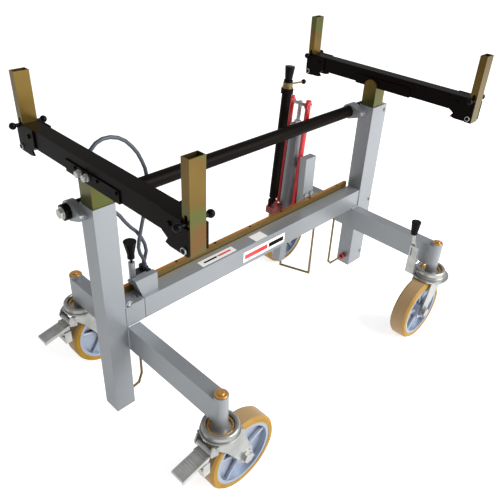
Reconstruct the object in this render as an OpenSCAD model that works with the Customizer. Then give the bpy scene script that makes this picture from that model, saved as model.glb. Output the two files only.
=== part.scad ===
// Bulky load trolley: two lifting masts joined by a telescopic beam and a tie
// bar, each mast with a cross beam, two folding stakes and an arm on two
// swivel casters. The left mast stands over x = 0, y = 0 with the floor at
// z = 0, then the whole is moved so that its box is centred over the origin.

/* [Masts] */
// Distance between the two mast centres
span = 982; // [940:1:1010]
// Mast tube size along the trolley
mast_w = 54; // [52:1:60]
// Mast tube size across the trolley
mast_d = 51; // [48:1:54]
// Mast tube wall
mast_wall = 2.5; // [2:0.5:3]
// Height of the mast tops
mast_top = 650; // [640:1:660]
// Height of the left mast foot above the floor
left_foot = 56; // [50:1:62]
// Height of the right mast foot above the floor
right_foot = 66; // [60:1:72]
// Depth of the outboard cover on the right mast
cover_d = 20; // [15:1:28]
// Height of the lowered cradle above the mast tops
lift_gap = 58; // [54:1:64]

/* [Beam] */
// Main beam size across the trolley
main_w = 45; // [42:1:48]
// Main beam height
main_h = 60; // [56:1:64]
// Main beam wall
main_wall = 3; // [2.5:0.5:4]
// Length of the beam stub on the left mast
stub_l = 54; // [48:1:58]
// Tie bar diameter
tie_d = 36; // [32:1:40]
// Tie bar centre below the mast tops
tie_drop = 22; // [20:1:28]
// Length of the tie bar beyond the right mast face
tie_over = 36; // [30:1:60]
// Distance between two index holes
rack_pitch = 134; // [120:1:136]

/* [Wheel arms] */
// Arm width along the trolley
arm_w = 34; // [32:1:38]
// Arm height
arm_h = 70; // [64:1:74]
// Underside of the arms above the floor
arm_z = 241; // [238:1:246]
// Front king pin, in front of the masts
king_front = 338; // [320:1:360]
// Rear king pin, behind the masts
king_back = 239; // [230:1:260]

/* [Casters] */
// Wheel diameter
wheel_d = 200; // [190:1:200]
// Wheel width
wheel_w = 50; // [44:1:50]
// Distance from king pin to wheel axle
trail = 54; // [50:1:58]
// Reach of the brake pedal from its king pin
pedal_reach = 126; // [115:1:135]

/* [Cross beams] */
// Length of each cross beam
cross_l = 548; // [520:1:580]
// Cross beam width
cross_w = 37; // [35:1:40]
// Cross beam height
cross_h = 43; // [40:1:46]
// Offset of the cross beams towards the front
cross_front = 34; // [28:1:40]
// Stake tube width
stake_w = 35; // [30:1:35]
// Stake tube depth
stake_d = 20; // [18:1:22]
// Stake length
stake_l = 179.5; // [150:0.5:220]
// Diameter of the lock pin knobs
knob_d = 16; // [12:1:18]

/* [Hydraulics] */
// Pump tube size
pump_w = 30; // [26:1:34]
// Pump handle column diameter
column_d = 28; // [24:1:30]
// Lift of the rams
ram_stroke = 300; // [250:1:300]
// Steel pipe diameter
pipe_d = 7; // [5:0.5:8]

/* [Hidden] */
$fn = 48;

// Clearances
slide_gap = 0.5;
run_gap = 0.05;
free_gap = 0.3;

// Colours
paint_silver = "#a9adb1";
zinc_gold = "#8f7a35";
gloss_black = "#15161a";
zinc_bright = "#b9bfc3";
wheel_yellow = "#c8a21e";
cast_alu = "#8d98b5";
signal_red = "#c8323a";
hose_grey = "#444650";

// Masts, inner masts and rams
mast_x = mast_w / 2;
mast_y = mast_d / 2;
inner_w = mast_w - 2 * mast_wall - 2 * slide_gap;
inner_d = mast_d - 2 * mast_wall - 2 * slide_gap;
inner_wall = 2.5;
inner_low = mast_top - 480;
saddle_z = mast_top + lift_gap;
foot_t = 5;
cap_t = 6;
cover_t = 2;
cap_lug_t = 8;
cap_lug_drop = 18;
barrel_r = 16;
rod_r = 9;
barrel_top = mast_top - 170;
rod_low = barrel_top - ram_stroke - 70;

// Cross beams, saddles and stakes
saddle_t = 3;
saddle_l = 190;
saddle_h = 27;
saddle_bolt = 11;
cross_out = inner_w / 2 - cross_w / 2;
cross_z = saddle_z + saddle_t;
cross_top = cross_z + cross_h;
cross_wall = 3;
cross_half = cross_l / 2;
plate_t = 4;
stake_y = cross_half + stake_d / 2 + 0.4;
stake_wall = 2;
stake_low = cross_z - 24;
pivot_z = cross_z - 11;
pivot_r = 5;
lock_z = cross_top - 4;
lock_r = 4;
lock_lift = 12;
slot_r = lock_r + free_gap;
knob_x = cross_w / 2 + plate_t + knob_d / 2 + 5.5;

// Main beam
arm_top = arm_z + arm_h;
main_y = -2.5;
main_z = arm_top + main_h / 2;
main_top = arm_top + main_h;
main_back = main_y + main_w / 2;
stub_end = mast_x + stub_l;
slide_w = main_w - 2 * main_wall - 2 * slide_gap;
slide_h = main_h - 2 * main_wall - 2 * slide_gap;
slide_wall = 3;
slide_reach = span - 102;

// Index rack, guide and plunger
rack_t = 10;
rack_y = main_back + 2;
rack_z0 = main_top - 14;
rack_z1 = main_top + 18;
rack_x0 = 48;
rack_x1 = span - 42;
hole_d = 12;
hole_count = 7;
plunger_x = stub_end + 5;
plunger_y = rack_y + rack_t / 2;
plunger_r = 3;
hole_r = plunger_r + free_gap;
housing_r = 8;
guide_x0 = stub_end + 2;
guide_x1 = stub_end + 49;
guide_front = -14;
guide_mid = 2;
guide_back = rack_y + rack_t + 4;
guide_low = rack_z0 - 10;
guide_top = main_top + 24.5;
guide_high = main_top + 49;
park_z = rack_z1 + 0.6;

// Tie bar
tie_r = tie_d / 2;
tie_y = mast_y + tie_r + 0.5;
tie_z = mast_top - tie_drop;
tie_wall = 3;
rod_in = tie_r - tie_wall - slide_gap;
tie_x0 = -mast_x - 31;
tie_x1 = span - mast_x - 31;
tie_end = span + mast_x + tie_over;
lug_r = tie_r + 5;
lug_toe = 10;
lug_toe_y = 6;
left_lug = 18;
right_lug = 30;

// King pins and casters
king_x = mast_x + arm_w / 2;
king_tube = arm_w / 2;
stem_r = 12;
cup_r = 43.5;
cup_top = arm_z - 15;
cup_floor = arm_z - 24;
cup_low = cup_floor - 2.7;
ring_r = 46;
ring_top = cup_low - free_gap;
plate_top = ring_top - 6.5;
plate_low = plate_top - 5;
king_nut = 8;
lock_disc_r = 57;
axle_z = wheel_d / 2;
axle_r = 10;
leg_in = wheel_w / 2 + 4;
leg_t = 4;
boss_r = 18;
nut_reach = leg_in + leg_t + 10;
tread_t = 16;
rim_r = wheel_d / 2 - tread_t;
web_t = 18;
pedal_x = -44;
pedal_z = plate_low - 17.5;
pedal_barrel = 23;
ear_t = 4;
lock_x = -56;
lock_y = 36;
lock_pivot = cup_low + 48;

// Pump group behind the beam
pump_x = span - 267;
pump_lean = 4.5;
pump_y = 102;
pump_low = 137;
pump_top = 615;
post_y0 = rack_y + rack_t + 4;
post_y1 = post_y0 + 24;
post_x0 = span - 252;
post_x1 = span - 206;
post_top = 523;
bar_r = 8;
bar_front = 71.5;
bar_back = 135;
bar_z0 = 342;
bar_z1 = 690;
cross_pin_z = 674;
cross_pin_r = 5;
plunger_rod = 6;
column_x = pump_x - 49;
column_y = 118;
pipe_low = 112;
pipe_back = 98;
column_r = column_d / 2;
hinge_z = 360;
column_z = 377;
column_top = 706;

// Middle of the finished trolley
centre_x = (king_x - pedal_reach + tie_end) / 2;
centre_y = (king_back - king_front) / 2;

// Hose behind the left mast, from one side of its fitting round to the other
hose_r = 4.75;
hose_sides = 8;
hose_route = [
    [155, 72, 368], [154, 72, 388], [149, 72, 408], [142, 73, 425], [139, 73, 443],
    [142, 73, 461], [147, 73, 480], [154, 74, 502], [161, 74, 525], [168, 74, 550],
    [175, 75, 576], [179, 75, 601], [179, 76, 626], [176, 76, 647], [169, 77, 668],
    [159, 77, 690], [146, 78, 709], [131, 79, 726], [113, 79, 738], [94, 80, 744],
    [75, 80, 745], [58, 81, 739], [44, 82, 726], [35, 82, 708], [30, 83, 687],
    [29, 83, 664], [32, 84, 642], [39, 84, 620], [50, 84, 601], [66, 85, 582],
    [85, 85, 564], [102, 85, 543], [115, 85, 521], [129, 86, 501], [145, 86, 482],
    [158, 86, 459], [167, 86, 436], [170, 86, 414], [163, 86, 391], [152, 86, 368]
];
fitting_x0 = 138;
fitting_x1 = 168;
fitting_y0 = 64;
fitting_y1 = 94;
fitting_z0 = 340;
fitting_z1 = 368;

// Helpers
module slab(lo, hi) {
    translate(lo) cube(hi - lo);
}

module rod_x(r, x0, x1, y, z) {
    translate([x0, y, z]) rotate([0, 90, 0]) cylinder(r = r, h = x1 - x0);
}

module rod_y(r, x, y0, y1, z) {
    translate([x, y0, z]) rotate([-90, 0, 0]) cylinder(r = r, h = y1 - y0);
}

module rod_z(r, x, y, z0, z1) {
    translate([x, y, z0]) cylinder(r = r, h = z1 - z0);
}

module hex_x(af, x0, x1, y, z) {
    translate([x0, y, z]) rotate([0, 90, 0]) cylinder(d = af / cos(30), h = x1 - x0, $fn = 6);
}

module hex_y(af, x, y0, y1, z) {
    translate([x, y0, z]) rotate([-90, 0, 0]) cylinder(d = af / cos(30), h = y1 - y0, $fn = 6);
}

// Flat profile in x and z, standing between two y positions
module profile_xz(points, y0, y1) {
    translate([0, y1, 0]) rotate([90, 0, 0]) linear_extrude(y1 - y0) polygon(points);
}

// Flat profile in y and z, standing between two x positions
module profile_yz(points, x0, x1) {
    translate([x0, 0, 0])
        rotate([90, 0, 90]) linear_extrude(x1 - x0) polygon(points);
}

module pipe_run(points, r) {
    for (i = [0 : len(points) - 2]) {
        leg = points[i + 1] - points[i];
        run = norm(leg);
        translate(points[i])
            rotate([0, acos(leg[2] / run), atan2(leg[1], leg[0])])
                cylinder(r = r, h = run, $fn = 24);
    }
    for (i = [1 : len(points) - 2]) translate(points[i]) sphere(r = r + 0.4, $fn = 24);
}

// Left masts, lifts and casters are drawn with their outside towards -x,
// and mirrored for the right hand ones
module on_side(right) {
    translate([right ? span : 0, 0, 0]) mirror([right ? 1 : 0, 0, 0]) children();
}

module at_king(right, back) {
    on_side(right) translate([king_x, back ? king_back : -king_front, 0]) children();
}

// Each end of a cross beam is drawn towards -y
module at_end(right, back) {
    on_side(right)
        translate([-cross_out, -cross_front, 0])
            mirror([0, back ? 1 : 0, 0]) translate([0, -stake_y, 0]) children();
}

module centred() {
    translate([-centre_x, -centre_y, 0]) children();
}

// Masts
module mast(foot) {
    difference() {
        slab([-mast_x, -mast_y, foot], [mast_x, mast_y, mast_top]);
        slab(
            [-mast_x + mast_wall, -mast_y + mast_wall, foot + foot_t],
            [mast_x - mast_wall, mast_y - mast_wall, mast_top + 1]
        );
    }
}

// Lug welded to the inner side of a mast, with the tie bar through it
module tie_lug(x0, x1) {
    reach = tie_y - lug_toe_y;
    lean = acos((lug_r - lug_toe) / reach);
    difference() {
        union() {
            rod_x(lug_r, x0, x1, tie_y, tie_z);
            rod_x(lug_toe, x0, x1, lug_toe_y, tie_z);
            profile_yz([
                [tie_y - lug_r * cos(lean), tie_z - lug_r * sin(lean)],
                [tie_y - lug_r * cos(lean), tie_z + lug_r * sin(lean)],
                [lug_toe_y - lug_toe * cos(lean), tie_z + lug_toe * sin(lean)],
                [lug_toe_y - lug_toe * cos(lean), tie_z - lug_toe * sin(lean)]
            ], x0, x1);
        }
        rod_x(tie_r, x0 - 1, x1 + 1, tie_y, tie_z);
    }
}

module left_mast() {
    color(paint_silver) {
        mast(left_foot);
        tie_lug(-mast_x - left_lug, -mast_x);
    }
}

module right_mast() {
    color(paint_silver) translate([span, 0, 0]) {
        mast(right_foot);
        tie_lug(-mast_x - right_lug, -mast_x);
    }
}

module mast_cover() {
    x0 = span + mast_x;
    color(paint_silver) difference() {
        slab([x0, -mast_y, right_foot], [x0 + cover_d, mast_y, mast_top]);
        slab(
            [x0 - 1, -mast_y + cover_t, right_foot + cover_t],
            [x0 + cover_d - cover_t, mast_y - cover_t, mast_top - cover_t]
        );
    }
}

// Main beam, stub and slide tube
module main_section(x0, x1, w, h) {
    slab([x0, main_y - w / 2, main_z - h / 2], [x1, main_y + w / 2, main_z + h / 2]);
}

module main_beam() {
    color(paint_silver) difference() {
        main_section(stub_end + free_gap, span - mast_x, main_w, main_h);
        main_section(stub_end - 1, span - mast_x + 1, main_w - 2 * main_wall, main_h - 2 * main_wall);
    }
}

module slide_tube() {
    color(paint_silver) {
        difference() {
            union() {
                main_section(mast_x, stub_end, main_w, main_h);
                main_section(mast_x, slide_reach, slide_w, slide_h);
            }
            main_section(mast_x - 1, slide_reach + 1, slide_w - 2 * slide_wall, slide_h - 2 * slide_wall);
            slab([stub_end - 20, main_y - 8, main_top - 4], [stub_end - 6, main_y + 16, main_top + 1]);
        }
        rod_z(5, stub_end - 13, main_y + 4, main_top - 4, main_top - 0.5);
    }
}

module index_rack() {
    color(zinc_gold) {
        difference() {
            slab([rack_x0, rack_y, rack_z0], [rack_x1, rack_y + rack_t, rack_z1]);
            for (i = [0 : hole_count - 1]) {
                rod_z(hole_r, plunger_x + i * rack_pitch, plunger_y, rack_z1 - hole_d, rack_z1 + 1);
            }
        }
        slab([rack_x0, main_back, rack_z0], [rack_x0 + 30, rack_y, main_top]);
    }
}

module index_guide() {
    color(paint_silver) difference() {
        union() {
            profile_xz([
                [guide_x0, main_top], [guide_x1, main_top],
                [guide_x1, guide_high], [guide_x0 - 17, guide_high]
            ], guide_front, guide_mid);
            slab([guide_x0, guide_mid, main_top], [guide_x1, guide_back, guide_top]);
            slab([guide_x0 - 7, guide_mid, rack_z1 + slide_gap], [guide_x1, guide_back, guide_top]);
            slab([guide_x0, main_back, guide_low], [guide_x1, guide_back, main_top]);
            rod_z(housing_r, plunger_x, plunger_y, guide_top, main_top + 76);
        }
        slab(
            [guide_x0 - 20, rack_y - slide_gap, guide_low - 1],
            [guide_x1 + 20, rack_y + rack_t + slide_gap, rack_z1 + slide_gap]
        );
        rod_z(plunger_r + run_gap, plunger_x, plunger_y, rack_z1, main_top + 77);
    }
}

module index_plunger() {
    z0 = main_top + 76 + free_gap + hole_d;
    color(gloss_black) {
        rod_z(plunger_r, plunger_x, plunger_y, park_z, z0);
        rod_z(9, plunger_x, plunger_y, z0, z0 + 12);
        translate([plunger_x, plunger_y, z0 + 12]) cylinder(r1 = 9, r2 = 16, h = 34);
    }
}

// Tie bar: a tube on the left mast sliding over a rod on the right mast
module tie_tube() {
    color(gloss_black) {
        difference() {
            rod_x(tie_r, tie_x0, tie_x1, tie_y, tie_z);
            rod_x(tie_r - tie_wall, tie_x0 + 13, tie_x1 + 1, tie_y, tie_z);
        }
        hex_x(19, tie_x0 - 8, tie_x0, tie_y, tie_z);
    }
}

module tie_rod() {
    color(gloss_black) {
        rod_x(rod_in, 300, tie_x1 + 2, tie_y, tie_z);
        rod_x(tie_r, tie_x1 + 1, tie_end, tie_y, tie_z);
    }
}

// Wheel arms
module arm_tube(right) {
    color(paint_silver) on_side(right) difference() {
        union() {
            difference() {
                slab([mast_x, -king_front, arm_z], [mast_x + arm_w, king_back, arm_top]);
                slab([mast_x + 3, -king_front + 3, arm_z + 3], [mast_x + arm_w - 3, king_back - 3, arm_top - 3]);
            }
            rod_z(king_tube, king_x, -king_front, cup_floor, arm_top + 7);
            rod_z(king_tube, king_x, king_back, cup_floor, arm_top + 7);
        }
        rod_z(stem_r + run_gap, king_x, -king_front, cup_floor - 1, arm_top);
        rod_z(stem_r + run_gap, king_x, king_back, cup_floor - 1, arm_top);
    }
}

module left_arm() {
    arm_tube(false);
}

module right_arm() {
    arm_tube(true);
}

// Swivel heads
module cup() {
    difference() {
        rod_z(cup_r, 0, 0, cup_low, cup_top);
        rod_z(33, 0, 0, cup_floor, cup_top + 1);
        rod_z(stem_r + run_gap, 0, 0, cup_low - 1, cup_top);
    }
}

module left_swivel_heads() {
    color(paint_silver) {
        at_king(false, false) cup();
        at_king(false, true) cup();
    }
}

// Upright beside the head that carries the lever of the direction lock,
// turned over at the rear so that both levers face the middle of the arm
module lock_bracket() {
    slab([lock_x - 6, 28, cup_low], [-34, 56, cup_low + 5]);
    slab([-38, 8, cup_low], [-26, 56, cup_low + 5]);
    difference() {
        slab([lock_x - 6, 28, cup_low], [lock_x - 1, 56, cup_low + 96]);
        slab([lock_x - 7, 46, cup_low + 62], [lock_x, 51, cup_low + 90]);
    }
    rod_x(5, lock_x - 6, lock_x + 8, lock_y, lock_pivot);
}

module right_swivel_heads() {
    color(paint_silver) {
        at_king(true, false) {
            cup();
            mirror([1, 0, 0]) lock_bracket();
        }
        at_king(true, true) {
            cup();
            mirror([1, 0, 0]) mirror([0, 1, 0]) lock_bracket();
        }
    }
}

module direction_lock() {
    color(zinc_bright) {
        difference() {
            union() {
                rod_x(10, lock_x, lock_x + 5, lock_y, lock_pivot);
                profile_yz([
                    [lock_y - 7, lock_pivot + 4], [lock_y + 9, lock_pivot - 6],
                    [lock_y + 25, lock_pivot + 84], [lock_y + 17, lock_pivot + 84]
                ], lock_x, lock_x + 5);
            }
            rod_x(5 + run_gap, lock_x - 1, lock_x + 6, lock_y, lock_pivot);
        }
        rod_z(9, lock_x + 2.5, lock_y + 21, lock_pivot + 83, lock_pivot + 96);
        translate([lock_x + 2.5, lock_y + 21, lock_pivot + 96]) cylinder(r1 = 9, r2 = 14, h = 30);
    }
}

module direction_lock_front() {
    at_king(true, false) mirror([1, 0, 0]) direction_lock();
}

module direction_lock_back() {
    at_king(true, true) mirror([1, 0, 0]) mirror([0, 1, 0]) direction_lock();
}

// Caster forks, wheels and brakes
module fork(braked) {
    color(paint_silver) {
        rod_z(ring_r, 0, 0, plate_top, ring_top);
        slab([-36, -leg_in - leg_t, plate_low], [40, leg_in + leg_t, plate_top]);
        rod_z(stem_r, 0, 0, plate_low, arm_top - 5);
        rod_z(stem_r + 3, 0, 0, plate_low - king_nut, plate_low);
        for (side = [0, 1]) mirror([0, side, 0]) {
            profile_xz([
                [-36, plate_top], [40, plate_top], [trail + 17, axle_z + 6],
                [trail + 6, axle_z - 17], [trail - 12, axle_z - 13], [-12, plate_low - 34],
                [-36, plate_low - 8]
            ], leg_in, leg_in + leg_t);
            rod_y(boss_r, trail, leg_in, leg_in + leg_t + 2, axle_z);
            hex_y(26, trail, leg_in + leg_t + 2, nut_reach, axle_z);
        }
        rod_y(axle_r, trail, -leg_in - 1, leg_in + 1, axle_z);
        if (!braked) rod_z(lock_disc_r, 0, 0, plate_low, plate_top);
        if (braked) {
            for (side = [0, 1]) mirror([0, side, 0]) {
                slab([-36, leg_in - 1, plate_low], [-36 + 10, leg_in + leg_t, plate_top]);
                profile_xz([
                    [pedal_x - 7, pedal_z - 6], [-30, pedal_z - 12], [-30, plate_top],
                    [pedal_x - 2, plate_top], [pedal_x - 9, pedal_z + 6]
                ], pedal_barrel + 0.6, pedal_barrel + 0.6 + ear_t);
                slab([-40, pedal_barrel + 0.6, plate_low], [-30, leg_in + leg_t, plate_top]);
            }
            rod_y(4, pedal_x, -pedal_barrel - 1, pedal_barrel + 1, pedal_z);
        }
    }
}

module fork_left_front() {
    at_king(false, false) fork(true);
}

module fork_left_back() {
    at_king(false, true) fork(true);
}

module fork_right_front() {
    at_king(true, false) fork(false);
}

module fork_right_back() {
    at_king(true, true) fork(false);
}

module tyre() {
    color(wheel_yellow) translate([trail, wheel_w / 2, axle_z]) rotate([90, 0, 0]) rotate_extrude() polygon([
        [rim_r, 0], [wheel_d / 2 - 5, 0], [wheel_d / 2, 6],
        [wheel_d / 2, wheel_w - 6], [wheel_d / 2 - 5, wheel_w], [rim_r, wheel_w]
    ]);
}

module rim() {
    side = (wheel_w - web_t) / 2;
    color(cast_alu) translate([trail, wheel_w / 2, axle_z]) rotate([90, 0, 0]) rotate_extrude() polygon([
        [axle_r + run_gap, -2], [26, -2], [26, side], [rim_r - 9, side], [rim_r - 9, 1],
        [rim_r, 1], [rim_r, wheel_w - 1], [rim_r - 9, wheel_w - 1], [rim_r - 9, wheel_w - side],
        [26, wheel_w - side], [26, wheel_w + 2], [axle_r + run_gap, wheel_w + 2]
    ]);
}

module tyre_left_front() {
    at_king(false, false) tyre();
}

module tyre_left_back() {
    at_king(false, true) tyre();
}

module tyre_right_front() {
    at_king(true, false) tyre();
}

module tyre_right_back() {
    at_king(true, true) tyre();
}

module rim_left_front() {
    at_king(false, false) rim();
}

module rim_left_back() {
    at_king(false, true) rim();
}

module rim_right_front() {
    at_king(true, false) rim();
}

module rim_right_back() {
    at_king(true, true) rim();
}

// Sheet pedal on a barrel, with the brake shoe hanging from it
module brake_pedal() {
    color(zinc_bright) difference() {
        union() {
            rod_y(8, pedal_x, -pedal_barrel, pedal_barrel, pedal_z);
            profile_xz([
                [pedal_x - 2, pedal_z - 8], [pedal_x + 3, pedal_z - 4],
                [-pedal_reach + 2, pedal_z - 22], [-pedal_reach, pedal_z - 26]
            ], -pedal_barrel, 17);
            profile_xz([
                [pedal_x - 8, pedal_z - 14], [pedal_x - 8, pedal_z - 4],
                [-pedal_reach, pedal_z - 21], [-pedal_reach, pedal_z - 31]
            ], -pedal_barrel, -pedal_barrel + 3);
            slab([pedal_x - 24, -22, pedal_z - 61], [pedal_x - 5.5, 22, pedal_z - 25]);
            slab([pedal_x - 20, -17, pedal_z - 27], [pedal_x - 5.5, 17, pedal_z - 4]);
        }
        rod_y(4 + run_gap, pedal_x, -pedal_barrel - 1, pedal_barrel + 1, pedal_z);
    }
}

module brake_pedal_front() {
    at_king(false, false) brake_pedal();
}

module brake_pedal_back() {
    at_king(false, true) brake_pedal();
}

// Inner masts with their caps, and the rams inside
module inner_mast(right) {
    color(zinc_gold) on_side(right) {
        difference() {
            slab([-inner_w / 2, -inner_d / 2, inner_low], [inner_w / 2, inner_d / 2, saddle_z]);
            slab(
                [-inner_w / 2 + inner_wall, -inner_d / 2 + inner_wall, inner_low - 1],
                [inner_w / 2 - inner_wall, inner_d / 2 - inner_wall, saddle_z - cap_t]
            );
        }
        slab(
            [inner_w / 2 - cap_lug_t, -inner_d / 2 + 0.5, saddle_z - cap_lug_drop],
            [inner_w / 2, inner_d / 2 - 0.5, saddle_z + 1]
        );
        rod_x(inner_d / 2 - 0.5, inner_w / 2 - cap_lug_t, inner_w / 2, 0, saddle_z + 1);
    }
}

module left_inner_mast() {
    inner_mast(false);
}

module right_inner_mast() {
    inner_mast(true);
}

module ram_barrel(foot) {
    color(gloss_black) difference() {
        rod_z(barrel_r, 0, 0, foot + foot_t, barrel_top);
        rod_z(rod_r + run_gap, 0, 0, foot + foot_t + 12, barrel_top + 1);
    }
}

module left_ram_barrel() {
    ram_barrel(left_foot);
}

module right_ram_barrel() {
    translate([span, 0, 0]) ram_barrel(right_foot);
}

module ram_rod() {
    color(zinc_bright) rod_z(rod_r, 0, 0, rod_low, saddle_z - cap_t);
}

module left_ram_rod() {
    ram_rod();
}

module right_ram_rod() {
    translate([span, 0, 0]) ram_rod();
}

// Saddle channels with their bolts
module saddle(right) {
    half = cross_w / 2;
    color(gloss_black) on_side(right) translate([-cross_out, -cross_front, 0]) {
        slab([-half - saddle_t, -saddle_l / 2, saddle_z], [half + saddle_t, saddle_l / 2, cross_z]);
        slab([-half - saddle_t, -saddle_l / 2, saddle_z], [-half, saddle_l / 2, saddle_z + saddle_h]);
        slab([half, -saddle_l / 2, saddle_z], [half + saddle_t, saddle_l / 2, saddle_z + saddle_h]);
        for (y = [12, 37]) hex_x(13, -half - saddle_t - saddle_bolt, -half - saddle_t, y, saddle_z + 16);
        for (y = [-86, -22, 58]) rod_x(3.5, -half - saddle_t - 3, -half - saddle_t, y, saddle_z + 20);
    }
}

module left_saddle() {
    saddle(false);
}

module right_saddle() {
    saddle(true);
}

// Cross beams with their end plates and stake pivots
module end_plates() {
    outline = [
        [-8, stake_low + 3], [39, stake_low + 3], [52.5, pivot_z - 6.5], [45, pivot_z + 4],
        [61, cross_z + 3], [61, cross_top + 1], [8, cross_top + 1], [6, lock_z - lock_r - 2],
        [-10.5, lock_z - lock_r - 2], [-10.5, stake_low + 5]
    ];
    for (side = [0, 1]) mirror([side, 0, 0]) profile_yz(outline, cross_w / 2, cross_w / 2 + plate_t);
    rod_x(pivot_r, -cross_w / 2 - plate_t - 4, cross_w / 2 + plate_t + 4, 0, pivot_z);
}

module cross_beam(right) {
    half = cross_w / 2;
    color(gloss_black) {
        on_side(right) translate([-cross_out, -cross_front, 0]) difference() {
            slab([-half, -cross_half, cross_z], [half, cross_half, cross_top]);
            slab(
                [-half + cross_wall, -cross_half - 1, cross_z + cross_wall],
                [half - cross_wall, cross_half + 1, cross_top - cross_wall]
            );
        }
        at_end(right, false) end_plates();
        at_end(right, true) end_plates();
    }
}

module left_cross_beam() {
    cross_beam(false);
}

module right_cross_beam() {
    cross_beam(true);
}

// Stakes with the slot their lock pin rises in
module stake() {
    half = stake_w / 2;
    color(zinc_gold) difference() {
        slab([-half, -stake_d / 2, stake_low], [half, stake_d / 2, stake_low + stake_l]);
        slab(
            [-half + stake_wall, -stake_d / 2 + stake_wall, stake_low - 1],
            [half - stake_wall, stake_d / 2 - stake_wall, stake_low + stake_l + 1]
        );
        rod_x(pivot_r + run_gap, -half - 1, half + 1, 0, pivot_z);
        rod_x(slot_r, -half - 1, half + 1, 0, lock_z);
        rod_x(slot_r, -half - 1, half + 1, 0, lock_z + lock_lift);
        slab([-half - 1, -slot_r, lock_z], [half + 1, slot_r, lock_z + lock_lift]);
    }
}

module lock_pin() {
    color(gloss_black) {
        rod_x(lock_r, -knob_x, knob_x, 0, lock_z);
        for (x = [-knob_x, knob_x]) translate([x, 0, lock_z]) rotate([0, 90, 0]) sphere(d = knob_d);
    }
}

module stake_left_front() {
    at_end(false, false) stake();
}

module stake_left_back() {
    at_end(false, true) stake();
}

module stake_right_front() {
    at_end(true, false) stake();
}

module stake_right_back() {
    at_end(true, true) stake();
}

module lock_pin_left_front() {
    at_end(false, false) lock_pin();
}

module lock_pin_left_back() {
    at_end(false, true) lock_pin();
}

module lock_pin_right_front() {
    at_end(true, false) lock_pin();
}

module lock_pin_right_back() {
    at_end(true, true) lock_pin();
}

// The pump leans over the foot of its tube
module leaning() {
    translate([pump_x + 8, 0, pump_low])
        rotate([0, pump_lean, 0]) translate([-pump_x - 8, 0, -pump_low]) children();
}

module pump_shell() {
    half = pump_w / 2;
    translate([pump_x, pump_y, 0]) slab([-half, -half, pump_low], [half, half, pump_top]);
}

module pump_post() {
    color(paint_silver) {
        slab([post_x0, post_y0, arm_top + 4], [post_x1, post_y1, post_top]);
        slab([post_x0, main_back, arm_top + 4], [post_x1, post_y0, rack_z0 - 7]);
        difference() {
            union() {
                slab([pump_x + 39.5, post_y1, 470], [post_x1, pump_y + 10, 500]);
                slab([pump_x + 27, post_y1, arm_top + 7], [post_x1, pump_y + 10, arm_top + 34]);
            }
            leaning() pump_shell();
        }
        for (x = [post_x0 + 10, post_x1 - 10]) hex_y(13, x, post_y0 - 6, post_y0, rack_z1 + 12);
    }
}

module pump_tube() {
    half = pump_w / 2 - 3;
    color(paint_silver) leaning() difference() {
        pump_shell();
        slab([pump_x - half, pump_y - half, pump_low + 8], [pump_x + half, pump_y + half, pump_top - 10]);
        rod_z(plunger_rod + run_gap, pump_x, pump_y, pump_top - 11, pump_top + 1);
    }
}

module pump_rod() {
    color(zinc_bright) leaning() {
        rod_z(plunger_rod, pump_x, pump_y, pump_low + 100, cross_pin_z + 8);
        rod_y(cross_pin_r, pump_x, bar_front - bar_r - 3, bar_back + bar_r + 3, cross_pin_z);
    }
}

module pump_yoke() {
    color(signal_red) leaning() for (y = [bar_front, bar_back]) difference() {
        rod_z(bar_r, pump_x, y, bar_z0, bar_z1);
        rod_y(cross_pin_r, pump_x, y - bar_r - 1, y + bar_r + 1, cross_pin_z);
    }
}

module pump_base() {
    side = pump_x - pump_w / 2;
    color(signal_red) leaning() {
        slab([column_x - 14, column_y - 14, 322], [side, column_y + 14, 344]);
        slab([column_x - 8, column_y - 14, 340], [column_x + 8, column_y - 10, hinge_z]);
        slab([column_x - 8, column_y + 10, 340], [column_x + 8, column_y + 14, hinge_z]);
        rod_y(8, column_x, column_y - 14, column_y - 10, hinge_z);
        rod_y(8, column_x, column_y + 10, column_y + 14, hinge_z);
        rod_y(4, column_x, column_y - 14, column_y + 14, hinge_z);
        rod_z(7, column_x, column_y, 306, 322);
    }
}

module pump_handle() {
    color(gloss_black) leaning() difference() {
        union() {
            rod_z(9, column_x, column_y, hinge_z, column_z + 1);
            rod_y(9, column_x, column_y - 9.5, column_y + 9.5, hinge_z);
            rod_z(column_r, column_x, column_y, column_z, column_top);
            rod_z(column_r + 4, column_x, column_y, column_top, column_top + 14);
            rod_z(13, column_x, column_y, column_top + 14, column_top + 20);
            rod_z(9, column_x, column_y, column_top + 20, column_top + 32);
            rod_z(13, column_x, column_y, column_top + 31.6, column_top + 38);
            translate([column_x, column_y, column_top + 38]) cylinder(r1 = 10, r2 = 14, h = 38);
        }
        rod_y(4 + run_gap, column_x, column_y - 10, column_y + 10, hinge_z);
    }
}

module valve_lever() {
    color(zinc_bright) leaning() translate([column_x, column_y, column_top + 20.3]) {
        difference() {
            union() {
                cylinder(r = 14, h = 11);
                rod_x(2.5, 9, 66, 0, 5.5);
            }
            translate([0, 0, -1]) cylinder(r = 9 + run_gap, h = 13);
        }
        translate([70, 0, 5.5]) rotate([0, 90, 0]) sphere(r = 7);
    }
}

// Pipes under the beam
module pump_pipe() {
    color(zinc_bright) pipe_run([
        [post_x0 + 28, 0, arm_top], [post_x0 + 28, 0, pipe_low], [pump_x + 8, pipe_back, pipe_low],
        [pump_x + 8, pipe_back, pump_low - free_gap]
    ], pipe_d / 2);
}

module right_mast_pipe() {
    side = span - mast_x;
    color(zinc_bright) {
        pipe_run([
            [side - 90, 0, arm_top], [side - 90, 0, pipe_low], [side - 75, 0, right_foot + 31],
            [side, 0, right_foot + 31]
        ], pipe_d / 2);
        rod_x(9, side - 14, side, 0, right_foot + 31);
    }
}

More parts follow.
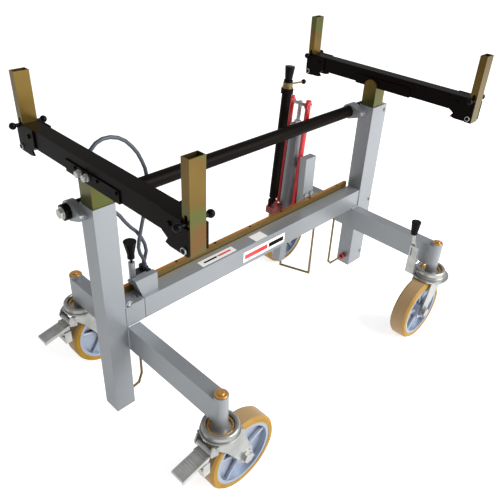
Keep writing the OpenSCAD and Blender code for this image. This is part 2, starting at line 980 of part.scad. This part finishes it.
module left_mast_pipe() {
    color(zinc_bright) {
        pipe_run([
            [mast_x + 44, 0, arm_top], [mast_x + 44, 0, pipe_low], [mast_x + 33, 0, left_foot + 28],
            [mast_x, 0, left_foot + 20]
        ], pipe_d / 2);
        rod_x(9, mast_x, mast_x + 10, 0, left_foot + 20);
    }
}

// Hose and its fitting
module hydraulic_hose() {
    n = len(hose_route);
    last = n * hose_sides;
    rings = [for (i = [0 : n - 1])
        let (
            p = hose_route[max(i - 1, 0)],
            q = hose_route[min(i + 1, n - 1)],
            t = (i == 0 || i == n - 1) ? [0, 0, i == 0 ? 1 : -1] : (q - p) / norm(q - p),
            side = cross(t, [0, 1, 0]) / norm(cross(t, [0, 1, 0])),
            up = cross(side, t)
        )
        for (k = [0 : hose_sides - 1])
            hose_route[i]
                + hose_r * (cos(k * 360 / hose_sides) * side + sin(k * 360 / hose_sides) * up)];
    walls = [for (i = [0 : n - 2]) for (k = [0 : hose_sides - 1])
        let (a = i * hose_sides + k, b = i * hose_sides + (k + 1) % hose_sides)
        [a, b, b + hose_sides, a + hose_sides]];
    color(hose_grey) polyhedron(
        points = rings,
        faces = concat(
            [[for (k = [hose_sides - 1 : -1 : 0]) k]],
            walls,
            [[for (k = [0 : hose_sides - 1]) last - hose_sides + k]]
        )
    );
}

module hose_fitting() {
    color(gloss_black) {
        slab([fitting_x0, fitting_y0, fitting_z0], [fitting_x1, fitting_y1, fitting_z1]);
        slab([guide_x1 - 18, guide_back, fitting_z0 + 8], [fitting_x0 + 12, fitting_y0, fitting_z0 + 14]);
    }
}

centred() main_beam();
centred() right_mast();
centred() mast_cover();
centred() right_arm();
centred() index_guide();
centred() tie_rod();
centred() pump_post();
centred() pump_tube();
centred() pump_base();
centred() pump_pipe();
centred() right_mast_pipe();
centred() hydraulic_hose();
centred() hose_fitting();
centred() right_swivel_heads();
centred() right_ram_barrel();
centred() left_mast();
centred() left_arm();
centred() slide_tube();
centred() index_rack();
centred() tie_tube();
centred() left_mast_pipe();
centred() left_swivel_heads();
centred() left_ram_barrel();
centred() index_plunger();
centred() left_inner_mast();
centred() left_saddle();
centred() left_cross_beam();
centred() left_ram_rod();
centred() right_inner_mast();
centred() right_saddle();
centred() right_cross_beam();
centred() right_ram_rod();
centred() stake_left_front();
centred() stake_left_back();
centred() stake_right_front();
centred() stake_right_back();
centred() lock_pin_left_front();
centred() lock_pin_left_back();
centred() lock_pin_right_front();
centred() lock_pin_right_back();
centred() fork_left_front();
centred() fork_left_back();
centred() fork_right_front();
centred() fork_right_back();
centred() tyre_left_front();
centred() tyre_left_back();
centred() tyre_right_front();
centred() tyre_right_back();
centred() rim_left_front();
centred() rim_left_back();
centred() rim_right_front();
centred() rim_right_back();
centred() brake_pedal_front();
centred() brake_pedal_back();
centred() direction_lock_front();
centred() direction_lock_back();
centred() pump_handle();
centred() valve_lever();
centred() pump_rod();
centred() pump_yoke();
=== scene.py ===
"""Bulky load trolley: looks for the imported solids. Metres, box centred over the origin, floor at z = 0."""

import math

import bpy
from mathutils import Matrix, Vector


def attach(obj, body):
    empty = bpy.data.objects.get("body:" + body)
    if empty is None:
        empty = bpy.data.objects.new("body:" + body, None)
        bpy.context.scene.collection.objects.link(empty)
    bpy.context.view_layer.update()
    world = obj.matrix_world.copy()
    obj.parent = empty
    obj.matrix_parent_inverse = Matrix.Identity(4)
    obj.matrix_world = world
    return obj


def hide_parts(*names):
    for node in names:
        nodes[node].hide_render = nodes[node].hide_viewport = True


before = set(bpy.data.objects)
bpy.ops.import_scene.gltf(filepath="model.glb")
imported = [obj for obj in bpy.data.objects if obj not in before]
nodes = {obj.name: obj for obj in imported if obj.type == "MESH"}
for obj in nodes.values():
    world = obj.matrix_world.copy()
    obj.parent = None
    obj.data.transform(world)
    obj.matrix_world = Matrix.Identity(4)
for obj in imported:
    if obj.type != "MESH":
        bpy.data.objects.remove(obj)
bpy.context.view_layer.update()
scene = bpy.context.scene
# dress() applies transforms to what is selected, which must never be a CAD part
bpy.ops.object.select_all(action="DESELECT")

# Places that several pieces share, in the trolley's own millimetres: x from the
# left mast towards the right one, y towards the back, z up from the floor
SPAN = 982  # between the centres of the masts
LEFT, RIGHT = 44, 938  # king pins along x
FRONT, BACK = -338, 239  # king pins along y
TRAIL = 54  # from king pin to wheel axle
AXLE_Z = 100
BEAM_TOP = 371
BEAM_FRONT = -25
STAKE_PIVOT_Z = 700
PLATE_BOLT_Z = 735
SADDLE_BOLT_Z = 724
TIE_Y, TIE_Z = 44, 628  # axis of the tie bar
LEVER_X = 884.5  # stems of the direction lock levers


def at(x, y, z):
    """The trolley's own millimetres, from the foot of the left mast, to the frame's metres."""
    return Vector(((x - 481.5) / 1000, (y + 49.5) / 1000, z / 1000))


# Camera: the 500 x 500 picture, taken from the front left and above
eye = bpy.data.cameras.new("camera")
eye.lens = 41.07
eye.sensor_width = 36
eye.shift_x = -0.0044
eye.shift_y = 0.0012
eye.clip_start, eye.clip_end = 0.05, 50
camera = bpy.data.objects.new("camera", eye)
scene.collection.objects.link(camera)
right_way = Vector((0.706, -0.7069, 0.0432))
up_way = Vector((0.3628, 0.4133, 0.8352))
ahead = Vector((0.6082, 0.574, -0.5483))
turn = Matrix((right_way, up_way, -ahead)).transposed().to_4x4()
# The way through a quaternion makes the rounded axes exactly square
square_turn = turn.to_quaternion().to_matrix().to_4x4()
camera.matrix_world = Matrix.Translation(at(-528.05, -946.08, 1228.3)) @ square_turn
scene.camera = camera
scene.view_settings.view_transform = "Standard"


# Colours and materials
def linear(hexcode):
    """An sRGB hex code as linear RGBA."""
    parts = [int(hexcode[i:i + 2], 16) / 255 for i in (1, 3, 5)]
    return tuple(c / 12.92 if c <= 0.04045 else ((c + 0.055) / 1.055) ** 2.4 for c in parts) + (1.0,)


def add(tree, kind, links=(), **values):
    """A new shader node. values are its settings or, with _ for a space, its inputs."""
    node = tree.nodes.new(kind)
    for key, value in values.items():
        if hasattr(node, key):
            setattr(node, key, value)
        else:
            node.inputs[key.replace("_", " ")].default_value = value
    for source, target in links:
        tree.links.new(source, node.inputs[target])
    return node


DRIFT_LOW, DRIFT_HIGH = 0.35, 0.68  # noise values between which the colour drifts
BUMP_DEPTH = 0.0004


def finish_of(
    name, colour, rough, metal=0.0, coat=0.0, ior=None, drift=None, mottle=60.0, grain=0.0, grain_scale=900.0
):
    """A painted, plated or moulded surface.

    drift lists colours that the first one drifts to in soft patches, mottle
    sets the size of the patches, and grain is the strength of a fine bump.
    """
    made = bpy.data.materials.new(name)
    made.use_nodes = True
    tree = made.node_tree
    skin = tree.nodes["Principled BSDF"]
    skin.inputs["Base Color"].default_value = linear(colour)
    skin.inputs["Roughness"].default_value = rough
    skin.inputs["Metallic"].default_value = metal
    skin.inputs["Coat Weight"].default_value = coat
    skin.inputs["Coat Roughness"].default_value = 0.12
    if ior:
        skin.inputs["IOR"].default_value = ior
    place = add(tree, "ShaderNodeTexCoord").outputs["Object"]
    if drift:
        noise = add(tree, "ShaderNodeTexNoise", [(place, "Vector")], Scale=1000 / mottle, Detail=2.0)
        ramp = add(tree, "ShaderNodeValToRGB", [(noise.outputs["Fac"], "Fac")])
        first, last = ramp.color_ramp.elements
        first.position, first.color = DRIFT_LOW, linear(colour)
        last.position, last.color = DRIFT_HIGH, linear(drift[-1])
        for i, c in enumerate(drift[:-1], 1):
            stop = DRIFT_LOW + (DRIFT_HIGH - DRIFT_LOW) * i / len(drift)
            ramp.color_ramp.elements.new(stop).color = linear(c)
        tree.links.new(ramp.outputs["Color"], skin.inputs["Base Color"])
    if grain:
        fine = add(tree, "ShaderNodeTexNoise", [(place, "Vector")], Scale=grain_scale, Detail=2.0)
        height = [(fine.outputs["Fac"], "Height")]
        bump = add(tree, "ShaderNodeBump", height, Strength=grain, Distance=BUMP_DEPTH)
        tree.links.new(bump.outputs["Normal"], skin.inputs["Normal"])
    return made


MIX_A, MIX_B, MIX_OUT = 6, 7, 2  # colour sockets of Blender's Mix node


def tint_by_facing(made, axis, colour):
    """Keeps the finish on faces that look along the axis, and gives all others the colour."""
    tree = made.node_tree
    skin = tree.nodes["Principled BSDF"]
    normal = add(tree, "ShaderNodeTexCoord").outputs["Normal"]
    facing = add(tree, "ShaderNodeSeparateXYZ", [(normal, "Vector")])
    size = add(tree, "ShaderNodeMath", [(facing.outputs[axis], 0)], operation="ABSOLUTE")
    blend = add(tree, "ShaderNodeMix", [(size.outputs[0], "Factor")], data_type="RGBA")
    blend.inputs[MIX_A].default_value = linear(colour)
    tree.links.new(skin.inputs["Base Color"].links[0].from_socket, blend.inputs[MIX_B])
    tree.links.new(blend.outputs[MIX_OUT], skin.inputs["Base Color"])


silver = finish_of("silver_grey_paint", "#95999d", 0.34, metal=0.45, coat=0.1, grain=0.12)
# Gloss black paint with a slight brown cast, a painted reflection of warm surroundings
black = finish_of("gloss_black_paint", "#100c0a", 0.34, ior=1.12)
gold = finish_of(
    "yellow_chromate_zinc", "#6e5824", 0.3, metal=0.75, coat=0.05,
    drift=["#67501e", "#525a2a", "#6c4c24"], mottle=170,
)
# The rack's bright orange shows on its top edge only, as a painted highlight
rack_gold = finish_of(
    "yellow_chromate_bar", "#c8842e", 0.34, metal=0.6, coat=0.1, drift=["#b87028", "#937236"], mottle=260
)
cap_gold = finish_of("bright_yellow_zinc", "#d8a45c", 0.25, metal=0.8, coat=0.1)
zinc = finish_of("bright_zinc_plate", "#cccdca", 0.3, metal=0.7, drift=["#b0b1ab"], mottle=40)
caster = finish_of("caster_zinc_plate", "#b9bab7", 0.28, metal=0.75, coat=0.1, drift=["#9fa19e"], mottle=50)
tread = finish_of("mustard_polyurethane", "#a87c06", 0.42, ior=1.3, drift=["#977008"], mottle=30)
cast = finish_of("cast_aluminium", "#a4adbc", 0.4, metal=0.7, grain=0.2, grain_scale=500)
red = finish_of("red_paint", "#d8262c", 0.3, coat=0.4)
plastic = finish_of("black_moulded_plastic", "#0a0a0c", 0.25, ior=1.18)
hose_skin = finish_of("grey_rubber_hose", "#454a54", 0.5)
brass = finish_of("brass_fitting", "#7e6a44", 0.3, metal=0.8)
# Red paint darkened as painted shade, for the foot of the pump
red_in_painted_shade = finish_of("red_paint_darkened_as_shade", "#7c1f19", 0.4, coat=0.1)
sticker = finish_of("blank_label_film", "#f2f1ee", 0.45)
# Dark steel for the fittings, also used as painted shade at the index holes and the stub gap
dark_steel_and_shade = finish_of("dark_steel_fittings_and_painted_shade", "#23262c", 0.35, metal=0.4)

# The tread is dull and brownish where it rolls, and clean yellow on its sides;
# the plated rack gets a painted highlight of bright orange on its top edge and painted shade of dark olive
# on its faces
tint_by_facing(tread, "Y", "#a88c66")
tint_by_facing(rack_gold, "Z", "#68531f")

# Each node gets the first finish that lists the start of its name, and all others are zinc
finish_by_name = (
    (brass, ("pump_pipe", "right_mast_pipe", "left_mast_pipe", "valve_lever")),
    (silver, (
        "main_beam", "right_mast", "mast_cover", "right_arm", "index_guide", "pump_post",
        "pump_tube", "left_mast", "left_arm", "slide_tube",
    )),
    (black, (
        "tie_rod", "tie_tube", "pump_handle", "left_saddle", "right_saddle",
        "left_cross_beam", "right_cross_beam",
    )),
    (gold, ("left_inner_mast", "right_inner_mast", "stake")),
    (rack_gold, ("index_rack",)),
    (red_in_painted_shade, ("pump_base",)),
    (red, ("pump_yoke",)),
    (dark_steel_and_shade, ("hose_fitting", "right_ram_barrel", "left_ram_barrel")),
    (caster, ("right_swivel_heads", "left_swivel_heads", "fork")),
    (plastic, ("index_plunger", "lock_pin")),
    (tread, ("tyre",)),
    (cast, ("rim",)),
)
for name, thing in nodes.items():
    coat = next((coat for coat, starts in finish_by_name if name.startswith(starts)), zinc)
    thing.data.materials.clear()
    thing.data.materials.append(coat)


# Small tools for added pieces, all placed in the trolley's own millimetres
def dress(piece, name, coat, body, bevel=0.0):
    """Names, coats and bevels the selected new piece, and lets it ride on its body."""
    piece.name = name
    piece.data.name = name
    piece.data.materials.clear()
    piece.data.materials.append(coat)
    if bevel:
        edge = piece.modifiers.new("edge", "BEVEL")
        edge.width = bevel / 1000
        edge.segments = 2
        edge.limit_method = "ANGLE"
    bpy.ops.object.shade_smooth_by_angle(angle=math.radians(35))
    if bevel:
        bpy.ops.object.modifier_apply(modifier="edge")
    bpy.ops.object.transform_apply(location=True, rotation=True, scale=True)
    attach(piece, body)
    piece.select_set(False)


def block(name, low, high, coat, body, bevel=0.4):
    """A box between two corners."""
    bpy.ops.mesh.primitive_cube_add(size=1, location=(at(*low) + at(*high)) / 2)
    piece = bpy.context.object
    piece.scale = at(*high) - at(*low)
    bpy.ops.object.transform_apply(location=False, rotation=False, scale=True)
    dress(piece, name, coat, body, bevel)


def bar(name, start, end, radius, coat, body, sides=32, bevel=0.0, tip=None):
    """A round or many-sided bar between two points. tip is the radius at its end, if that differs."""
    a, b = at(*start), at(*end)
    tip = radius if tip is None else tip
    bpy.ops.mesh.primitive_cone_add(
        vertices=sides, radius1=radius / 1000, radius2=tip / 1000,
        depth=(b - a).length, location=(a + b) / 2,
    )
    piece = bpy.context.object
    piece.rotation_euler = (b - a).to_track_quat("Z", "Y").to_euler()
    dress(piece, name, coat, body, bevel)


def ring(name, place, radius, thick, coat, body, around=64, across=12):
    """A level torus. thick is the radius of its cord."""
    bpy.ops.mesh.primitive_torus_add(
        major_radius=radius / 1000, minor_radius=thick / 1000,
        major_segments=around, minor_segments=across, location=at(*place),
    )
    dress(bpy.context.object, name, coat, body)


# Service hose: grey rubber, from the fitting behind the beam up, over and back
hose_route = [
    (155, 72, 368), (154, 72, 388), (149, 72, 408), (142, 73, 425), (139, 73, 443),
    (142, 73, 461), (147, 73, 480), (154, 74, 502), (161, 74, 525), (168, 74, 550),
    (175, 75, 576), (179, 75, 601), (179, 76, 626), (176, 76, 647), (169, 77, 668),
    (159, 77, 690), (146, 78, 709), (131, 79, 726), (113, 79, 738), (94, 80, 744),
    (75, 80, 745), (58, 81, 739), (44, 82, 726), (35, 82, 708), (30, 83, 687),
    (29, 83, 664), (32, 84, 642), (39, 84, 620), (50, 84, 601), (66, 85, 582),
    (85, 85, 564), (102, 85, 543), (115, 85, 521), (129, 86, 501), (145, 86, 482),
    (158, 86, 459), (167, 86, 436), (170, 86, 414), (163, 86, 391), (152, 86, 368),
]
line = bpy.data.curves.new("service_hose", "CURVE")
line.dimensions = "3D"
line.bevel_depth = 0.00475
line.bevel_resolution = 5
line.use_fill_caps = True
strand = line.splines.new("POLY")
strand.points.add(len(hose_route) - 1)
for point, place in zip(strand.points, hose_route):
    point.co = (*at(*place), 1.0)
hose = bpy.data.objects.new("service_hose", line)
scene.collection.objects.link(hose)
line.materials.append(hose_skin)
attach(hose, "fixed_frame")
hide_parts("hydraulic_hose")

# Crimped ends of the hose, where it enters its fitting
for tag, x, y in (("a", 155, 72), ("b", 152, 86)):
    bar("hose_ferrule_" + tag, (x, y, 366), (x, y, 380), 7, dark_steel_and_shade, "fixed_frame", bevel=0.6)

# Label plates on the top and the front of the main beam, with plain bands in
# the place of print
for name, low, high, coat in (
    ("label_top_long", (271, -19, BEAM_TOP), (393, 5, BEAM_TOP + 0.6), sticker),
    ("label_top_short", (464, -23, BEAM_TOP), (511, 8, BEAM_TOP + 0.6), sticker),
    ("label_front", (414, BEAM_FRONT - 0.6, 322), (584, BEAM_FRONT, 354), sticker),
    ("label_band_red", (420, BEAM_FRONT - 0.9, 331), (510, BEAM_FRONT - 0.5, 345), red),
    ("label_band_black", (516, BEAM_FRONT - 0.9, 331), (578, BEAM_FRONT - 0.5, 345), plastic),
    ("label_band_top", (285, -10, BEAM_TOP + 0.5), (330, -4, BEAM_TOP + 0.9), plastic),
    ("label_band_mid", (334, -10, BEAM_TOP + 0.5), (380, -4, BEAM_TOP + 0.9), red),
):
    block(name, low, high, coat, "fixed_frame", 0)

# Wheels and brake pedals
RIB_COUNT = 5
RIB_INNER, RIB_OUTER = 24, 76  # radii between which a rib runs
FIRST_RIB = 20  # degrees
PEDAL_RIB_COUNT = 6


def pedal_top(x):
    """Height of the sloping top of a brake pedal."""
    return 160.5 + (x + 82) * 0.245


def wheel_side(tag, axle, y, face):
    """Cast ribs and the hub on one side of a wheel. face is -1 for the front, 1 for the back."""
    for n in range(RIB_COUNT):
        angle = math.radians(360 / RIB_COUNT * n + FIRST_RIB)
        inner, outer = (
            (axle + reach * math.cos(angle), y + face * depth, AXLE_Z + reach * math.sin(angle))
            for reach, depth in ((RIB_INNER, 14), (RIB_OUTER, 12))
        )
        bar("rib_%s_%d_%d" % (tag, face + 1, n), inner, outer, 5.5, cast, "wheel_" + tag, 8, tip=7)
    bar(
        "hub_%s_%d" % (tag, face + 1), (axle, y + face * 8, AXLE_Z), (axle, y + face * 26.4, AXLE_Z),
        27, cast, "wheel_" + tag, 48, 1.5, tip=20,
    )


def brake_pedal(end, y):
    """Raised ribs across the pedal, and the two bolts of its shoe."""
    for n in range(PEDAL_RIB_COUNT):
        x = -70 + 7 * n
        low, high = (x, y - 20, pedal_top(x) - 0.6), (x + 2.5, y + 15, pedal_top(x) + 2.2)
        block("pedal_rib_%s_%d" % (end, n), low, high, zinc, "pedal_" + end, 0.3)
    for dy in (-12, 6):
        start, finish = (-24, y + dy, 143), (-29, y + dy, 143)
        bar("shoe_bolt_%s_%d" % (end, dy + 12), start, finish, 5.5, zinc, "pedal_" + end, 6, 0.4)


# Swivel casters: rolled beads round the fixed cup and the turning ring, the
# race between them, and a plated cap on each king pin tube
for side, x, way in (("left", LEFT, 1), ("right", RIGHT, -1)):
    holder = "sliding_frame" if side == "left" else "fixed_frame"
    for end, y in (("front", FRONT), ("back", BACK)):
        tag = side + "_" + end
        ring("cup_bead_" + tag, (x, y, 224.5), 38.5, 5, caster, holder)
        ring("ring_bead_" + tag, (x, y, 210.5), 43.5, 3.5, caster, "caster_" + tag)
        ring("bearing_race_" + tag, (x, y, 220), 28.5, 3.2, cap_gold, holder)
        bar("king_cap_" + tag, (x, y, 318), (x, y, 321), 15, cap_gold, holder, bevel=0.8)
        bar("king_dome_" + tag, (x, y, 321), (x, y, 324), 8, cap_gold, holder, bevel=1.2)
        for face in (-1, 1):
            wheel_side(tag, x + TRAIL * way, y, face)
        if side == "left":
            brake_pedal(end, y)

# Bright pivot pins of the stakes and black bolts of the end plates
for side, mid in (("left", -5.5), ("right", SPAN + 5.5)):
    lift = "lift_" + side
    for end, y, inward in (("front", -318.4, 1), ("back", 250.4, -1)):
        bolt_y = y + inward * 40
        for face in (-1, 1):
            number = "_%s_%s_%d" % (side, end, face + 1)
            x0 = mid + face * 22.5
            x1 = x0 + face * 3.5
            pivot = (x0, y, STAKE_PIVOT_Z), (x1, y, STAKE_PIVOT_Z)
            bar("pivot_head" + number, *pivot, 7, zinc, lift, bevel=0.5)
            bolt = (x0, bolt_y, PLATE_BOLT_Z), (x1, bolt_y, PLATE_BOLT_Z)
            bar("plate_bolt" + number, *bolt, 5.5, black, lift, 6, 0.4)

# Bright bolts that hold each saddle, and the plain one at the end of the tie bar
for side, x, out in (("left", -27, -1), ("right", SPAN + 27, 1)):
    lift = "lift_" + side
    for y in (-22, 3):
        number = "_%s_%d" % (side, y + 22)
        washer = (x, y, SADDLE_BOLT_Z), (x + out * 4, y, SADDLE_BOLT_Z)
        bar("saddle_bolt" + number, *washer, 8.5, zinc, lift, bevel=0.5)
        nut = (x + out * 3, y, SADDLE_BOLT_Z), (x + out * 11.5, y, SADDLE_BOLT_Z)
        bar("saddle_nut" + number, *nut, 7.8, zinc, lift, 6, 0.6)
bar("tie_washer", (-58, TIE_Y, TIE_Z), (-60.5, TIE_Y, TIE_Z), 14, zinc, "sliding_frame", bevel=0.4)
bar("tie_bolt", (-60, TIE_Y, TIE_Z), (-67, TIE_Y, TIE_Z), 11.5, zinc, "sliding_frame", 6, 0.7)

# Black grips over the stems of the direction lock levers
for end, y in (("front", -281), ("back", 182)):
    bar(
        "lever_grip_" + end, (LEVER_X, y, 344.8), (LEVER_X, y, 388.8),
        9.4, plastic, "direction_lever_" + end, 40, 1.2, tip=14.5,
    )

# Painted shade: dark rings round the index holes in the top of the rack
for n in range(7):
    hole = (86 + 134 * n, 27, 388.7)
    ring("index_hole_painted_shade_%d" % n, hole, 3.8, 0.7, dark_steel_and_shade, "sliding_frame", 32, 8)

# Cheek with its pin on the stub beside the left mast, and thin strips of painted
# shade in the gap where the stub meets the beam tube
block("stub_cheek", (28, -25.4, 356), (46, -21.5, 376), silver, "sliding_frame", 0.5)
bar("stub_cheek_top", (37, -25.4, 376), (37, -21.5, 376), 9, silver, "sliding_frame", 40, 0.5)
bar("stub_pin", (37, -21, 375.5), (37, -27.5, 375.5), 4, zinc, "sliding_frame", bevel=0.6)
block("joint_gap_shade_front", (80.2, -25.3, 312), (81.4, -25, 371.2), dark_steel_and_shade, "sliding_frame", 0)
block("joint_gap_shade_top", (80.2, -25.2, 371), (81.4, 20, 371.3), dark_steel_and_shade, "sliding_frame", 0)

# Weld seams where the beams and arms meet the masts
for side, body, seams in (
    ("left", "sliding_frame", (
        ((27.5, -25.5, 244), (27.5, -25.5, 310)), ((27.5, -25, 311), (27.5, 20, 311)),
        ((27.5, -25.3, 313), (27.5, -25.3, 369)), ((28, -25.4, 311), (61, -25.4, 311)),
    )),
    ("right", "fixed_frame", (
        ((954.5, -25.5, 244), (954.5, -25.5, 310)), ((954.5, -25.3, 313), (954.5, -25.3, 369)),
        ((921, -25.4, 311), (954, -25.4, 311)),
    )),
):
    for n, (start, finish) in enumerate(seams):
        bar("weld_%s_%d" % (side, n), start, finish, 2.6, silver, body, 12)

# Bright screws on the front of the mast cover
for z in (632, 315, 100):
    bar("cover_screw_%d" % z, (1022, -25.5, z), (1022, -30, z), 6, zinc, "fixed_frame", 24, 0.8)

# Red union cap with a dark core where the pipe enters the foot of the right mast
bar("foot_union_cap", (940.5, 0, 97), (945.5, 0, 97), 11, red, "fixed_frame", bevel=0.8)
bar("foot_union_core", (938.5, 0, 97), (941, 0, 97), 6.5, dark_steel_and_shade, "fixed_frame", bevel=0.5)

# Pump: everything leans over the foot of its tube
LEAN = math.radians(4.5)
FOOT_X, FOOT_Z = 723, 137
COLUMN = 666, 118  # axis of the handle column before the lean, in x and y
ROD = 715, 102  # axis of the pump rod before the lean


def leaned(x, y, z):
    dx, dz = x - FOOT_X, z - FOOT_Z
    across = dx * math.cos(LEAN) + dz * math.sin(LEAN)
    up = dz * math.cos(LEAN) - dx * math.sin(LEAN)
    return (FOOT_X + across, y, FOOT_Z + up)


# Brass block over the collar, ball of the valve lever, gland nut, eyes of the
# red bars, fitting at the foot of the column and sleeve of its grip
bar("valve_block", leaned(*COLUMN, 719), leaned(*COLUMN, 726), 16, brass, "handle", 6, 0.6)
ball_place = at(*leaned(736, 118, 731.8))
bpy.ops.mesh.primitive_uv_sphere_add(segments=32, ring_count=16, radius=0.0073, location=ball_place)
dress(bpy.context.object, "valve_ball", plastic, "valve")
bar("gland_nut", leaned(*ROD, 615), leaned(*ROD, 624), 11, zinc, "fixed_frame", 6, 0.6)
for y in (71.5, 135):
    start, finish = leaned(715, y - 6, 674), leaned(715, y + 6, 674)
    bar("yoke_eye_%d" % y, start, finish, 12, red, "pump_plunger", bevel=1)
bar("foot_fitting", leaned(*COLUMN, 300), leaned(*COLUMN, 322), 9, brass, "fixed_frame", 6, 0.6)
bar(
    "grip_sleeve", leaned(*COLUMN, 743.6), leaned(*COLUMN, 782.6),
    10.3, plastic, "handle", 40, 1.5, tip=14.3,
)

# Floor and light: a plain white studio with a soft shadow under the wheels. The
# floor and the sky are brighter for the camera than they are as light
WHITE = (1, 1, 1, 1)
FLOOR_GLOW, FLOOR_GLOW_SEEN = 0.25, 0.35
SKY_LIGHT, SKY_SEEN = 0.42, 1.0
bpy.ops.mesh.primitive_plane_add(size=40, location=(0, 0, -0.0008))
floor = bpy.context.object
floor.name = "floor"
ground = finish_of("studio_floor", "#ffffff", 0.9)
floor.data.materials.append(ground)
glow = ground.node_tree.nodes["Principled BSDF"]
glow.inputs["Emission Color"].default_value = WHITE
seen = add(ground.node_tree, "ShaderNodeLightPath").outputs["Is Camera Ray"]
shine = add(ground.node_tree, "ShaderNodeMath", [(seen, 0)], operation="MULTIPLY_ADD")
shine.inputs[1].default_value = FLOOR_GLOW_SEEN
shine.inputs[2].default_value = FLOOR_GLOW
ground.node_tree.links.new(shine.outputs[0], glow.inputs["Emission Strength"])

world = bpy.data.worlds.new("studio")
scene.world = world
world.use_nodes = True
tree = world.node_tree
sky = tree.nodes["Background"]
sky.inputs["Color"].default_value = WHITE
sky.inputs["Strength"].default_value = SKY_LIGHT
plain = add(tree, "ShaderNodeBackground", Color=WHITE, Strength=SKY_SEEN)
path = add(tree, "ShaderNodeLightPath")
mix = add(tree, "ShaderNodeMixShader", [(path.outputs["Is Camera Ray"], 0)])
tree.links.new(sky.outputs[0], mix.inputs[1])
tree.links.new(plain.outputs[0], mix.inputs[2])
tree.links.new(mix.outputs[0], tree.nodes["World Output"].inputs["Surface"])

light = bpy.data.lights.new("key", "AREA")
light.energy = 230
light.size = 3.4
key = bpy.data.objects.new("key", light)
scene.collection.objects.link(key)
key.location = (1.6, -3.2, 2.4)
key_aim = Vector((0, 0, 0.4))
key.rotation_euler = (key_aim - key.location).to_track_quat("-Z", "Y").to_euler()
